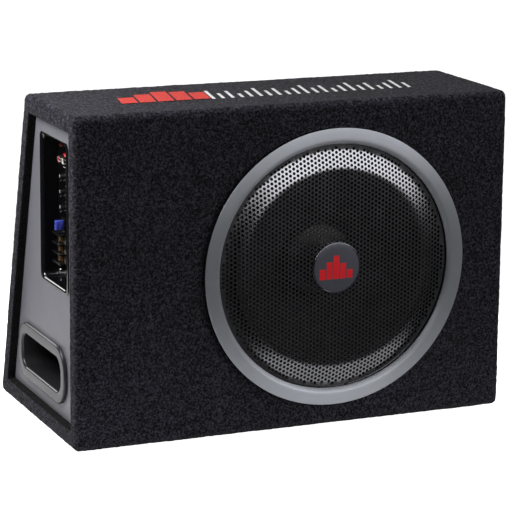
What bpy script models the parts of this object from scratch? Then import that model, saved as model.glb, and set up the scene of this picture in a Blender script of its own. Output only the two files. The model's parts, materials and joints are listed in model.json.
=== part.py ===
"""Powered car subwoofer: a carpeted wedge cabinet with a 12-inch driver, a slot port and an amplifier inside.

Metres, +Z up. The driver faces -Y, and the amplifier and the port open to -X. The origin is on the floor,
under the middle of the bounding box. Depths run into the cabinet from the front carpet, and insets run in
from the left end, so most places are given as (inset, depth, height).
"""

from math import cos, hypot, pi, radians, sin

import bmesh
import bpy
from mathutils import Matrix, Vector

MM = 0.001

# Cabinet, measured over the carpet
WIDTH = 525.6 * MM
HEIGHT = 375.6 * MM
DEPTH_TOP = 174 * MM
DEPTH_BOTTOM = 277 * MM
EDGE_RADIUS = 9 * MM
TIGHTEST_EDGE = 1.5 * MM
CARPET = 2.8 * MM
BOARD = 16 * MM
GAP = 0.3 * MM
LIP_RADIUS = 6 * MM

# Left end
PANEL_INSET = 10 * MM
FASCIA = 3 * MM
BOARD_INSET = PANEL_INSET + FASCIA + GAP

# Driver
DRIVER_INSET = 309.2 * MM
DRIVER_HEIGHT = 186.3 * MM
BADGE_PROUD = 8 * MM
FLANGE_DEPTH = 5.7 * MM
REBATE_RADIUS = 155.5 * MM
REBATE_FLOOR = 8 * MM
SCREW_CIRCLE_RADIUS = 149.5 * MM
SCREW_COUNT = 8
SCREW_HOLE_RADIUS = 2.8 * MM
BAFFLE_HOLE_RADIUS = 141 * MM
SCREW_END = 16.4 * MM
BASKET_WINDOWS = 6

# Amplifier window and port, as depths from the front and heights above the floor
WINDOW_DEPTHS = (57 * MM, 138 * MM)
WINDOW_HEIGHTS = (171 * MM, 333.5 * MM)
BEZEL_DEPTHS = (48 * MM, 145 * MM)
BEZEL_HEIGHTS = (166.5 * MM, 337.5 * MM)
TUB_WALL = 2.8 * MM
PLATE_INSET = 27.8 * MM
PLATE = 1.5 * MM
WINDOW_CORNER = 7 * MM
BEZEL_CORNER = 8 * MM
BEZEL_PROUD = 1 * MM
PORT_DEPTHS = (70 * MM, 208 * MM)
PORT_HEIGHTS = (49 * MM, 88.5 * MM)
PORT_CORNER = 15.5 * MM
PORT_FLARE = 14 * MM
PORT_PROUD = 4.5 * MM
PORT_WALL = 3 * MM
DUCT_END_INSET = 215 * MM

# Connector plate, as (depth, height)
RED_JACK = (108 * MM, 310 * MM)
WHITE_JACK = (94 * MM, 310 * MM)
KNOB_HEIGHTS = {"gain_knob": 289 * MM, "low_pass_knob": 271.5 * MM, "bass_boost_knob": 254 * MM}
KNOB_DEPTH = 106 * MM
FUSE = (106 * MM, 235 * MM)
FUSE_THICKNESS = 3.8 * MM
FUSE_LENGTH = 10.9 * MM
SWITCH = (72 * MM, 262 * MM)
SWITCH_TRAVEL = 4 * MM
LAMP = (120 * MM, 324 * MM)
SPEAKER_DEPTHS = (64 * MM, 82 * MM)
SPEAKER_HEIGHTS = (312 * MM, 322 * MM)
BLOCK_DEPTHS = (97 * MM, 126 * MM)
CLAMP_DEPTH = 112 * MM
CLAMP_HEIGHT = 196.5 * MM
CLAMP_PITCH = 11 * MM

# Facets
BIG_STEPS = 48
STEPS = 32
SMALL_STEPS = 16

LEFT = -WIDTH / 2
SLOPE = (DEPTH_BOTTOM - DEPTH_TOP) / HEIGHT
BACK_REACH = DEPTH_BOTTOM + EDGE_RADIUS * (1 - SLOPE - hypot(1, SLOPE))
FRONT = BADGE_PROUD - (BACK_REACH + BADGE_PROUD) / 2
DRIVER = Vector((LEFT + DRIVER_INSET, FRONT, DRIVER_HEIGHT))
PLATE_FACE = LEFT + PLATE_INSET

MATERIALS = {
    "carpet": ((0.016, 0.015, 0.020), 0.95, 0.0),
    "fibreboard": ((0.30, 0.19, 0.10), 0.8, 0.0),
    "fascia": ((0.20, 0.20, 0.22), 0.45, 0.0),
    "ring": ((0.17, 0.17, 0.19), 0.35, 0.2),
    "black_steel": ((0.012, 0.012, 0.013), 0.35, 0.6),
    "black_plastic": ((0.010, 0.010, 0.011), 0.35, 0.0),
    "badge": ((0.06, 0.06, 0.075), 0.3, 0.2),
    "paper": ((0.02, 0.02, 0.02), 0.85, 0.0),
    "rubber": ((0.015, 0.015, 0.015), 0.6, 0.0),
    "spider_cloth": ((0.45, 0.28, 0.08), 0.85, 0.0),
    "polyimide": ((0.45, 0.20, 0.03), 0.35, 0.0),
    "copper": ((0.75, 0.30, 0.15), 0.3, 1.0),
    "zinc": ((0.60, 0.58, 0.50), 0.3, 1.0),
    "ferrite": ((0.04, 0.04, 0.04), 0.6, 0.0),
    "aluminium": ((0.55, 0.56, 0.57), 0.4, 1.0),
    "board_green": ((0.02, 0.16, 0.06), 0.5, 0.0),
    "brass": ((0.70, 0.48, 0.20), 0.3, 1.0),
    "red_plastic": ((0.55, 0.02, 0.02), 0.35, 0.0),
    "white_plastic": ((0.80, 0.78, 0.70), 0.35, 0.0),
    "blue_plastic": ((0.03, 0.06, 0.60), 0.2, 0.0),
    "cable_red": ((0.50, 0.02, 0.02), 0.5, 0.0),
    "cable_black": ((0.01, 0.01, 0.01), 0.5, 0.0),
}


# Helpers


def clear_scene():
    for old in list(bpy.data.objects):
        bpy.data.objects.remove(old, do_unlink=True)


def material(name):
    """The named material, made the first time it's asked for."""
    made = bpy.data.materials.get(name)
    if made:
        return made
    colour, roughness, metallic = MATERIALS[name]
    made = bpy.data.materials.new(name)
    made.use_nodes = True
    shader = made.node_tree.nodes["Principled BSDF"]
    shader.inputs["Base Color"].default_value = (*colour, 1)
    shader.inputs["Roughness"].default_value = roughness
    shader.inputs["Metallic"].default_value = metallic
    made.diffuse_color = (*colour, 1)
    return made


def add_object(name, mesh_data, look, location=(0, 0, 0)):
    obj = bpy.data.objects.new(name, mesh_data)
    obj.location = location
    bpy.context.scene.collection.objects.link(obj)
    if look:
        obj.data.materials.append(material(look))
    return obj


def finish_mesh(name, bm, look, location=(0, 0, 0), smooth=False):
    """Turns a bmesh into an object with its faces pointing out."""
    bmesh.ops.remove_doubles(bm, verts=bm.verts, dist=1e-6)
    bmesh.ops.dissolve_degenerate(bm, edges=bm.edges, dist=1e-7)
    bmesh.ops.recalc_face_normals(bm, faces=bm.faces)
    mesh_data = bpy.data.meshes.new(name)
    bm.to_mesh(mesh_data)
    bm.free()
    if smooth:
        mesh_data.shade_smooth()
        mesh_data.set_sharp_from_angle(angle=radians(35))
    return add_object(name, mesh_data, look, location)


def stack(name, loops, look, location=(0, 0, 0), ring=False, smooth=False):
    """Bridges loops of equal length; a ring joins the last to the first, otherwise both ends are capped."""
    bm = bmesh.new()
    rows = [[bm.verts.new(point) for point in loop] for loop in loops]
    pairs = list(zip(rows, rows[1:]))
    if ring:
        pairs.append((rows[-1], rows[0]))
    for low, high in pairs:
        for i in range(len(low)):
            j = (i + 1) % len(low)
            bm.faces.new((low[i], low[j], high[j], high[i]))
    if not ring:
        bm.faces.new(rows[0])
        bm.faces.new(rows[-1])
    return finish_mesh(name, bm, look, location, smooth)


def turned(name, outline, axis, look, location, steps=STEPS, smooth=True):
    """Spins a closed outline of (radius, place along the axis) about the X, Y or Z axis through location."""
    direction = {"X": Vector((1, 0, 0)), "Y": Vector((0, 1, 0)), "Z": Vector((0, 0, 1))}[axis]
    side = {"X": Vector((0, 1, 0)), "Y": Vector((1, 0, 0)), "Z": Vector((1, 0, 0))}[axis]
    bm = bmesh.new()
    verts = [bm.verts.new(side * radius + direction * along) for radius, along in outline]
    edges = [bm.edges.new((a, b)) for a, b in zip(verts, verts[1:] + verts[:1])]
    reach = {v: (v.co - direction * v.co.dot(direction)).length for v in verts}
    on_axis = [e for e in edges if all(reach[v] < 1e-9 for v in e.verts)]
    swept = [e for e in edges if e not in on_axis]
    bmesh.ops.spin(bm, geom=verts + swept, cent=(0, 0, 0), axis=direction, angle=2 * pi, steps=steps)
    for edge in on_axis:
        if edge.is_valid:
            bm.edges.remove(edge)
    return finish_mesh(name, bm, look, location, smooth)


def block(name, low, high, look, bevel=0.0):
    """A box between two corners, with its edges bevelled where bevel isn't 0."""
    centre = (Vector(low) + Vector(high)) / 2
    size = Vector(high) - Vector(low)
    bm = bmesh.new()
    bmesh.ops.create_cube(bm, size=1)
    bmesh.ops.scale(bm, vec=size, verts=bm.verts)
    obj = finish_mesh(name, bm, look, centre)
    if bevel:
        rounding = obj.modifiers.new("rounding", "BEVEL")
        rounding.width = bevel
        rounding.segments = 2
    return obj


def cut(obj, cutter):
    """Takes the cutter out of the object and hides the cutter."""
    hole = obj.modifiers.new("cut " + cutter.name, "BOOLEAN")
    hole.operation = "DIFFERENCE"
    hole.object = cutter
    hide(cutter)


def hide(obj):
    obj.hide_render = True
    obj.display_type = "WIRE"


def arc(centre, radius, start, end, count):
    """Points on an arc, with angles in degrees."""
    points = []
    for i in range(count + 1):
        angle = radians(start + (end - start) * i / count)
        points.append((centre[0] + radius * cos(angle), centre[1] + radius * sin(angle)))
    return points


def rounded(corners, radius, count=4):
    """The corners of a convex polygon, each replaced by a tangent arc of count steps."""
    points = []
    for i, corner in enumerate(corners):
        here = Vector(corner)
        before = (Vector(corners[i - 1]) - here).normalized()
        after = (Vector(corners[(i + 1) % len(corners)]) - here).normalized()
        half = before.angle(after) / 2
        centre = here + (before + after).normalized() * radius / sin(half)
        first = here + before * radius / (sin(half) / cos(half)) - centre
        last = here + after * radius / (sin(half) / cos(half)) - centre
        turn = first.angle_signed(last)
        for step in range(count + 1):
            spoke = first.copy()
            spoke.rotate(Matrix.Rotation(-turn * step / count, 2))
            points.append(tuple(centre + spoke))
    return points


# Cabinet outline in the (depth, height) plane


def back_depth(height, inset=0.0):
    """Depth of the sloping back at a height, moved in square to its surface by inset."""
    return DEPTH_BOTTOM - SLOPE * height - inset * hypot(1, SLOPE)


def corners(inset):
    """Corners of the cabinet's section, moved in by inset: front bottom, back bottom, back top, front top."""
    low, high = inset, HEIGHT - inset
    return [(inset, low), (back_depth(low, inset), low), (back_depth(high, inset), high), (inset, high)]


def section(inset):
    """The rounded section moved in by inset."""
    return rounded(corners(inset), max(EDGE_RADIUS - inset, TIGHTEST_EDGE))


def at_inset(points, inset):
    """Puts (depth, height) points on the plane across the cabinet at an inset from its left end."""
    return [(LEFT + inset, FRONT + depth, height) for depth, height in points]


def prism(name, points, near, far, look, smooth=False):
    """A slab of a (depth, height) outline between two insets."""
    return stack(name, [at_inset(points, near), at_inset(points, far)], look, smooth=smooth)


def rectangle(depths, heights, grow=0.0):
    (front, back), (low, high) = depths, heights
    return [
        (front - grow, low - grow),
        (back + grow, low - grow),
        (back + grow, high + grow),
        (front - grow, high + grow),
    ]


def slot_outline(grow=0.0):
    """The port's outline, with its corners well rounded, grown all round."""
    return rounded(rectangle(PORT_DEPTHS, PORT_HEIGHTS, grow), PORT_CORNER + grow, 6)


def window_outline(grow=0.0):
    return rounded(rectangle(WINDOW_DEPTHS, WINDOW_HEIGHTS, grow), WINDOW_CORNER, 3)


# Cabinet


def round_edges(board):
    """Routs a board's outer edges so that the carpet can run round them."""
    envelope = prism(board.name + "_envelope", section(CARPET), CARPET, WIDTH - CARPET, None)
    rounding = board.modifiers.new("rounded edges", "BOOLEAN")
    rounding.operation = "INTERSECT"
    rounding.object = envelope
    hide(envelope)


def front_baffle():
    baffle = block(
        "front_baffle",
        (LEFT + CARPET - GAP, FRONT + CARPET - GAP, CARPET - GAP),
        (-LEFT - CARPET + GAP, FRONT + CARPET + BOARD, HEIGHT - CARPET + GAP),
        "fibreboard",
    )
    round_edges(baffle)
    outside, inside = CARPET - 1 * MM, CARPET + BOARD + 1 * MM
    steps = [
        (0, outside),
        (REBATE_RADIUS, outside),
        (REBATE_RADIUS, REBATE_FLOOR),
        (BAFFLE_HOLE_RADIUS, REBATE_FLOOR),
        (BAFFLE_HOLE_RADIUS, inside),
        (0, inside),
    ]
    cut(baffle, turned("baffle_cutter", steps, "Y", None, DRIVER, BIG_STEPS, False))
    cut(baffle, screw_holes("baffle_hole_cutter", REBATE_FLOOR - 1 * MM, SCREW_END + GAP))


def shell_boards():
    """The top and bottom boards fit between the baffle and the sloping back board."""
    front = CARPET + BOARD + GAP
    over = CARPET - GAP
    for name, low, high in (
        ("bottom_panel", over, CARPET + BOARD),
        ("top_panel", HEIGHT - CARPET - BOARD, HEIGHT - over),
    ):
        points = [(front, low), (back_depth(low, front), low), (back_depth(high, front), high), (front, high)]
        round_edges(prism(name, points, over, WIDTH - over, "fibreboard"))
    low, high = over, HEIGHT - over
    inner = CARPET + BOARD
    points = [
        (back_depth(low, inner), low),
        (back_depth(low, over), low),
        (back_depth(high, over), high),
        (back_depth(high, inner), high),
    ]
    round_edges(prism("back_panel", points, over, WIDTH - over, "fibreboard"))


def end_boards():
    inside = corners(CARPET + BOARD + GAP)
    prism("right_end_panel", inside, WIDTH - CARPET - BOARD, WIDTH - CARPET, "fibreboard")
    left = prism("left_end_panel", inside, BOARD_INSET, BOARD_INSET + BOARD, "fibreboard")
    near, far = BOARD_INSET - 5 * MM, BOARD_INSET + BOARD + 5 * MM
    cut(left, prism("board_window_cutter", window_outline(TUB_WALL + 2 * GAP), near, far, None))
    cut(left, prism("board_port_cutter", slot_outline(PORT_WALL + GAP), near, far, None))


def fascia():
    panel = prism("left_fascia", corners(CARPET + BOARD + GAP), PANEL_INSET, PANEL_INSET + FASCIA, "fascia")
    near, far = PANEL_INSET - 5 * MM, PANEL_INSET + FASCIA + 5 * MM
    cut(panel, prism("fascia_window_cutter", window_outline(TUB_WALL + 2 * GAP), near, far, None))
    cut(panel, prism("fascia_port_cutter", slot_outline(PORT_WALL + GAP), near, far, None))


def carpet_loops():
    """Loops that run round the carpet's skin, from the right end over the left lip and in to the fascia."""
    turn_in = PANEL_INSET - GAP
    lip = CARPET + BOARD + CARPET
    quarter = arc((0, 0), LIP_RADIUS, 0, 90, 3)
    loops = [at_inset(section(0), WIDTH)]
    for across, along in quarter:
        loops.append(at_inset(section(LIP_RADIUS - across), LIP_RADIUS - along))
    for across, along in reversed(quarter):
        loops.append(at_inset(section(lip - LIP_RADIUS + across), LIP_RADIUS - along))
    loops.append(at_inset(section(lip), turn_in))
    loops.append(at_inset(section(lip - CARPET + GAP), turn_in))
    loops.append(at_inset(section(lip - CARPET + GAP), CARPET - GAP))
    loops.append(at_inset(section(CARPET - GAP), CARPET - GAP))
    loops.append(at_inset(section(CARPET - GAP), WIDTH))
    return loops


def carpet():
    """One strip wraps the front, top, back and left lip; the underside and the right end are cut pieces."""
    wrap = stack("carpet_wrap", carpet_loops(), "carpet", ring=True, smooth=True)
    outside, inside = -2 * MM, CARPET + 1 * MM
    hole = [(0, outside), (REBATE_RADIUS, outside), (REBATE_RADIUS, inside), (0, inside)]
    cut(wrap, turned("carpet_driver_cutter", hole, "Y", None, DRIVER, BIG_STEPS, False))
    front, back = EDGE_RADIUS, back_depth(0) - EDGE_RADIUS
    seam = LIP_RADIUS + CARPET + BOARD
    below = rectangle((front, back), (-5 * MM, CARPET))
    cut(wrap, prism("carpet_bottom_cutter", below, seam, WIDTH + 5 * MM, None))
    bottom = rectangle((front + GAP, back - GAP), (0, CARPET - GAP))
    prism("carpet_bottom", bottom, seam + GAP, WIDTH, "carpet")
    prism("carpet_right_end", section(CARPET), WIDTH - CARPET + GAP, WIDTH, "carpet")


# Port


def port():
    """The mouth is a raised rim with a neck through the board, and the duct carries on from the neck."""
    near, far = PANEL_INSET - GAP, BOARD_INSET + BOARD
    crest = PANEL_INSET - PORT_PROUD
    inner, outer = PORT_WALL, 2 * MM
    path = [(0, far)]
    path += [(inner - across, crest + inner - along) for across, along in arc((0, 0), inner, 0, 90, 4)]
    path += [(PORT_FLARE - outer + across, crest + outer - along)
             for across, along in reversed(arc((0, 0), outer, 0, 90, 3))]
    path += [(PORT_FLARE, near), (PORT_WALL, near), (PORT_WALL, far)]
    stack("port_flare", [at_inset(slot_outline(grow), inset) for grow, inset in path], "fascia",
          ring=True, smooth=True)
    duct = [(0, far + GAP), (PORT_WALL, far + GAP), (PORT_WALL, DUCT_END_INSET), (0, DUCT_END_INSET)]
    stack("port_duct", [at_inset(slot_outline(grow), inset) for grow, inset in duct], "black_plastic",
          ring=True, smooth=True)


# Driver: outlines are (radius, depth from the front carpet), in millimetres


def in_mm(points):
    return [(a * MM, b * MM) for a, b in points]


def driver_turned(name, outline, look, steps=STEPS):
    return turned(name, in_mm(outline), "Y", look, DRIVER, steps)


def screw_places():
    """Centres of the basket's screws, as offsets from the driver's axis."""
    for i in range(SCREW_COUNT):
        angle = 2 * pi * (i + 0.5) / SCREW_COUNT
        yield Vector((cos(angle), 0, sin(angle))) * SCREW_CIRCLE_RADIUS


def screw_holes(name, near, far):
    """One cutter with a round hole at each of the basket's screws."""
    bm = bmesh.new()
    upright = Matrix.Rotation(pi / 2, 4, "X")
    for place in screw_places():
        middle = Matrix.Translation(place + Vector((0, (near + far) / 2, 0)))
        bmesh.ops.create_cone(
            bm, cap_ends=True, segments=8, radius1=SCREW_HOLE_RADIUS, radius2=SCREW_HOLE_RADIUS,
            depth=far - near, matrix=middle @ upright,
        )
    return finish_mesh(name, bm, None, DRIVER)


def basket():
    outline = [
        (138.2, 5.7), (154.2, 5.7), (154.2, 7.7), (140.2, 7.7), (140.2, 25), (99.5, 74), (76, 74), (76, 86),
        (30, 86), (30, 84), (74, 84), (74, 72), (98, 72), (138.2, 24),
    ]
    frame = driver_turned("basket", outline, "black_steel", BIG_STEPS)
    cut(frame, basket_windows())
    cut(frame, screw_holes("basket_hole_cutter", FLANGE_DEPTH - 1 * MM, REBATE_FLOOR))


def basket_windows():
    """Six tapered openings between the basket's legs."""
    bm = bmesh.new()
    near, far = 31 * MM, 68 * MM
    for i in range(BASKET_WINDOWS):
        middle = 2 * pi * i / BASKET_WINDOWS
        outline = []
        for radius, side in ((170 * MM, -1), (170 * MM, 1), (84 * MM, 1), (84 * MM, -1)):
            angle = middle + side * radians(21)
            outline.append((radius * cos(angle), radius * sin(angle)))
        front = [bm.verts.new((x, near, z)) for x, z in outline]
        rear = [bm.verts.new((x, far, z)) for x, z in outline]
        bm.faces.new(front)
        bm.faces.new(rear)
        for j in range(4):
            k = (j + 1) % 4
            bm.faces.new((front[j], front[k], rear[k], rear[j]))
    return finish_mesh("basket_window_cutter", bm, None, DRIVER)


def gasket():
    outline = [(137.8, 1.8), (154.2, 1.8), (154.2, 5.4), (144.3, 5.4), (144.3, 4.1), (137.8, 4.1)]
    ring = driver_turned("gasket", outline, "rubber", BIG_STEPS)
    cut(ring, screw_holes("gasket_hole_cutter", 1 * MM, 6 * MM))


def basket_screws():
    outline = in_mm([(0, -0.9), (2.6, -0.9), (4.2, 0.3), (4.2, 1.5), (2.2, 1.5), (2.2, 14)])
    outline.append((0, SCREW_END))
    for i, place in enumerate(screw_places()):
        turned(f"basket_screw_{i + 1}", outline, "Y", "black_steel", DRIVER + place, 8)


def surround():
    """A half roll that dips inwards, between a lip on the basket and the cone's rim."""
    lip, middle, roll, thick = 4.4, 127.5, 8.5, 1.0
    front = [(143, lip)] + arc((middle, lip), roll, 0, 180, 6) + [(112.5, lip)]
    back = [(112.5, lip + thick)]
    back += arc((middle, lip), roll + thick, 174, 6, 6)
    back += [(143, lip + thick)]
    driver_turned("surround", front + back, "rubber")


def spider():
    """The corrugated suspension, from its lip on the basket in to the coil former."""
    count, waves = 9, 3
    front, back = [(96, 70.9)], [(96, 71.7)]
    for i in range(count + 1):
        radius = 70 - (70 - 28) * i / count
        depth = 70.9 + 1.6 * sin(2 * pi * waves * i / count)
        front.append((radius, depth))
        back.append((radius, depth + 0.8))
    front.append((26.4, 70.9))
    back.append((26.4, 71.7))
    driver_turned("spider", front + back[::-1], "spider_cloth")


def moving_parts():
    """The cone, cap, former and coil, which travel along the driver's axis."""
    cone = [(118, 5.8), (118, 6.8), (111.6, 7.4), (29, 63), (26.4, 63), (26.4, 61.2), (28, 61.2), (111, 5.8)]
    driver_turned("cone", cone, "paper")
    cap = [(44 * cos(radians(a)), 47 - 12 * sin(radians(a))) for a in (0, 25, 45, 65, 90)]
    inner = [(0, 36.2), (19, 37.4), (32, 39.9), (40, 43.6), (42.2, 47)]
    driver_turned("dust_cap", cap[:-1] + [(0, 35)] + inner, "paper")
    driver_turned("coil_former", [(25.4, 60), (26, 60), (26, 103), (25.4, 103)], "polyimide")
    driver_turned("voice_coil", [(26.3, 78), (27.3, 78), (27.3, 102), (26.3, 102)], "copper")


def motor():
    driver_turned("top_plate", [(28.3, 86.3), (62, 86.3), (62, 94.3), (28.3, 94.3)], "zinc")
    driver_turned("magnet", [(33, 94.6), (74, 94.6), (76, 96.6), (76, 114), (74, 116), (33, 116)], "ferrite")
    yoke = [(0, 84), (22, 84), (24.6, 86), (24.6, 116.3), (62, 116.3), (62, 124), (60, 126), (0, 126)]
    driver_turned("yoke", yoke, "zinc")


def terminals():
    """A strip behind the basket's landing, with a braided lead from the cone to each end."""
    edge = DRIVER.x - 98 * MM
    block(
        "terminal_strip",
        (edge, FRONT + 74.4 * MM, DRIVER.z - 15 * MM),
        (edge + 17 * MM, FRONT + 78 * MM, DRIVER.z + 15 * MM),
        "fibreboard",
    )
    route = [(60, 45), (72, 51), (88, 58), (103, 65), (107, 73), (104, 79), (99, 80.2), (92, 80.2)]
    for name, side in (("tinsel_lead_positive", 1), ("tinsel_lead_negative", -1)):
        points = [DRIVER + Vector((-r * MM, d * MM, side * 9 * MM)) for r, d in route]
        lead(name, points, 0.9 * MM, "copper")


def lead(name, route, radius, look):
    """A round lead along a smooth curve through its route."""
    curve = bpy.data.curves.new(name, "CURVE")
    curve.dimensions = "3D"
    curve.bevel_depth = radius
    curve.bevel_resolution = 1
    curve.use_fill_caps = True
    points = smooth_route(route, 4)
    line = curve.splines.new("POLY")
    line.points.add(len(points) - 1)
    for place, point in zip(line.points, points):
        place.co = (*point, 1)
    return add_object(name, curve, look)


def smooth_route(route, count):
    """Points on the curve that passes through each point of the route."""
    ends = [route[0] * 2 - route[1]] + list(route) + [route[-1] * 2 - route[-2]]
    points = []
    for a, b, c, d in zip(ends, ends[1:], ends[2:], ends[3:]):
        for i in range(count):
            t = i / count
            bend = 2 * a - 5 * b + 4 * c - d
            twist = 3 * b - a - 3 * c + d
            points.append((2 * b + (c - a) * t + bend * t * t + twist * t * t * t) / 2)
    return points + [route[-1]]


def trim():
    """The ring, the grille behind it and the badge on the grille."""
    ring = [
        (160, -0.3), (160, -5.8), (159.3, -6.5), (149, -7.2), (147.6, -7), (142.8, -4.6), (141.3, -3),
        (141.3, 1.5), (143, 1.5), (143, -2.6), (147, -4.8), (156, -4.8), (158, -3.4), (158, -0.3),
    ]
    driver_turned("trim_ring", ring, "ring", BIG_STEPS)
    sheet = [
        (140.8, 0.5), (136, 0.5), (133, 0.1), (118, -4), (115, -4.7), (112, -5), (60, -5.3), (0, -5.45),
        (0, -4.45), (60, -4.3), (112, -4), (115, -3.7), (118, -3), (133, 1.1), (136, 1.5), (140.8, 1.5),
    ]
    driver_turned("grille", sheet, "black_steel", BIG_STEPS)
    badge = [(0, -8), (15, -7.85), (24, -7.5), (28.6, -7), (29.8, -6.3), (29.8, -5.8), (0, -5.8)]
    driver_turned("badge", badge, "badge")


# Amplifier


def plate_place(depth, height, proud=0.0):
    """A place on the connector plate's outer face, stood off by proud."""
    return Vector((PLATE_FACE - proud, FRONT + depth, height))


def plate_block(name, depths, heights, near, far, look, bevel=0.0):
    """A block on the connector plate, from near to far in front of its outer face."""
    low = plate_place(depths[0], heights[0], far)
    high = plate_place(depths[1], heights[1], near)
    return block(name, low, high, look, bevel)


def bezel():
    """The tub round the window, with a flange on the fascia and a chamfered mouth."""
    mouth, edge = 1.6 * MM, 0.4 * MM
    flange = rounded(rectangle(BEZEL_DEPTHS, BEZEL_HEIGHTS), BEZEL_CORNER, 3)
    flange_front = rounded(rectangle(BEZEL_DEPTHS, BEZEL_HEIGHTS, -edge), BEZEL_CORNER - edge, 3)
    seat, face, rear = PANEL_INSET - GAP, PANEL_INSET - BEZEL_PROUD, PLATE_INSET - GAP
    loops = [
        at_inset(window_outline(), rear),
        at_inset(window_outline(), face + mouth),
        at_inset(window_outline(mouth), face),
        at_inset(flange_front, face),
        at_inset(flange, face + edge),
        at_inset(flange, seat),
        at_inset(window_outline(TUB_WALL), seat),
        at_inset(window_outline(TUB_WALL), rear),
    ]
    stack("amp_bezel", loops, "black_plastic", ring=True, smooth=True)


def connector_plate():
    outline = window_outline(TUB_WALL)
    plate = prism("connector_plate", outline, PLATE_INSET, PLATE_INSET + PLATE, "black_steel")
    depth, height = SWITCH
    slot = plate_block("switch_slot_cutter", (depth - 2.4 * MM, depth + 2.4 * MM),
                       (height - 5 * MM, height + 5 * MM), -3 * MM, 3 * MM, None)
    cut(plate, slot)


def jacks():
    outline = in_mm([
        (0, -0.3), (6, -0.3), (6, -2.6), (4.2, -2.6), (4.2, -9.3), (1.6, -9.3), (1.6, -4), (0, -4),
    ])
    for name, place, look in (
        ("input_jack_right", RED_JACK, "red_plastic"),
        ("input_jack_left", WHITE_JACK, "white_plastic"),
    ):
        turned(name, outline, "X", look, plate_place(*place), SMALL_STEPS)


def knobs():
    """Three controls, each with a pointer slot, turning about its own shaft."""
    outline = in_mm([(0, -0.6), (5.6, -0.6), (5.6, -2), (4.7, -7.8), (4.1, -8.4), (0, -8.4)])
    for name, height in KNOB_HEIGHTS.items():
        knob = turned(name, outline, "X", "black_plastic", plate_place(KNOB_DEPTH, height), SMALL_STEPS)
        slot = plate_block(name + "_slot_cutter", (KNOB_DEPTH - 0.6 * MM, KNOB_DEPTH + 0.6 * MM),
                           (height, height + 7 * MM), 7.4 * MM, 10 * MM, None)
        cut(knob, slot)


def switch():
    depth, height = SWITCH
    plate_block("phase_switch", (depth - 2 * MM, depth + 2 * MM),
                (height - SWITCH_TRAVEL / 2 - 2 * MM, height - SWITCH_TRAVEL / 2 + 2 * MM),
                -1 * MM, 4 * MM, "white_plastic", 0.4 * MM)


def sockets():
    """The power light and the speaker-level socket."""
    lamp = in_mm([(0, -0.3), (2.5, -0.3), (2.5, -2.2), (1.6, -3.8), (0, -4.4)])
    turned("power_light", lamp, "X", "red_plastic", plate_place(*LAMP), 12)
    wall = 1.5 * MM
    (front, back), (low, high) = SPEAKER_DEPTHS, SPEAKER_HEIGHTS
    speaker = plate_block("speaker_level_socket", (front, back), (low, high), GAP, 7 * MM, "white_plastic")
    cut(speaker, plate_block("speaker_level_cutter", (front + wall, back - wall), (low + wall, high - wall),
                             2 * MM, 9 * MM, None))


def fuse():
    """A mini blade fuse standing in its holder; it pulls straight out."""
    depth, height = FUSE
    half, long_half = FUSE_THICKNESS / 2, FUSE_LENGTH / 2
    holder = plate_block("fuse_holder", (depth - 6 * MM, depth + 6 * MM),
                         (height - long_half - 2 * MM, height + long_half + 2 * MM), GAP, 5.5 * MM,
                         "black_plastic")
    room = plate_block("fuse_holder_cutter", (depth - half - GAP, depth + half + GAP),
                       (height - long_half - GAP, height + long_half + GAP), 2 * MM, 8 * MM, None)
    cut(holder, room)
    plate_block("fuse", (depth - half, depth + half), (height - long_half, height + long_half),
                2 * MM + GAP, 14.5 * MM, "blue_plastic", 0.7 * MM)


def terminal_block():
    """A comb-shaped block with a clamping screw in each of its three bays."""
    count = 3
    low = CLAMP_HEIGHT - CLAMP_PITCH / 2
    base, tall, half = 4.7 * MM, 11.5 * MM, 0.9 * MM
    outline = [(-GAP, low - half), (-tall, low - half)]
    for i in range(count):
        wall = low + CLAMP_PITCH * i
        outline += [(-tall, wall + half), (-base, wall + half), (-base, wall + CLAMP_PITCH - half),
                    (-tall, wall + CLAMP_PITCH - half)]
    outline += [(-tall, low + CLAMP_PITCH * count + half), (-GAP, low + CLAMP_PITCH * count + half)]
    loops = [[(PLATE_FACE + x, FRONT + depth, z) for x, z in outline] for depth in BLOCK_DEPTHS]
    stack("power_terminal_block", loops, "black_plastic")
    head = in_mm([(0, -5), (4.2, -5), (4.2, -8), (3.4, -9), (0, -9)])
    for i, name in enumerate(("clamp_screw_ground", "clamp_screw_remote", "clamp_screw_supply")):
        place = plate_place(CLAMP_DEPTH, CLAMP_HEIGHT + CLAMP_PITCH * i)
        turned(name, head, "X", "brass", place, 12)


def inside_amp():
    """The board stands behind the plate with its parts facing forward and the heatsink on its back."""
    near, far = LEFT + 31 * MM, LEFT + 112 * MM
    board_depth = FRONT + 128 * MM
    low, high = (near, board_depth, 174 * MM), (far, board_depth + 1.6 * MM, 332 * MM)
    block("circuit_board", low, high, "board_green")
    heatsink(near, far)
    cap = in_mm([(0, -30), (10, -30), (11, -29), (11, -0.3), (0, -0.3)])
    for name, height in (("capacitor_upper", 236 * MM), ("capacitor_lower", 208 * MM)):
        turned(name, cap, "Y", "black_plastic", Vector((LEFT + 72 * MM, board_depth, height)), SMALL_STEPS)
    coil = in_mm(arc((15, -9.5), 8, 0, 315, 7))
    turned("transformer", coil, "Y", "copper", Vector((LEFT + 72 * MM, board_depth, 286 * MM)), 24)
    for name, side, look in (
        ("speaker_lead_positive", 1, "cable_red"),
        ("speaker_lead_negative", -1, "cable_black"),
    ):
        height = DRIVER.z + side * 4.5 * MM
        ends = ((224, 80, height), (212, 80, height), (198, 85, height + 3 * MM), (170, 104, height + 6 * MM),
                (145, 118, height + 8 * MM), (125, 123, height + 4 * MM), (112.5, 123, height))
        lead(name, [Vector((LEFT + x * MM, FRONT + d * MM, z)) for x, d, z in ends], 1.6 * MM, look)


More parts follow.
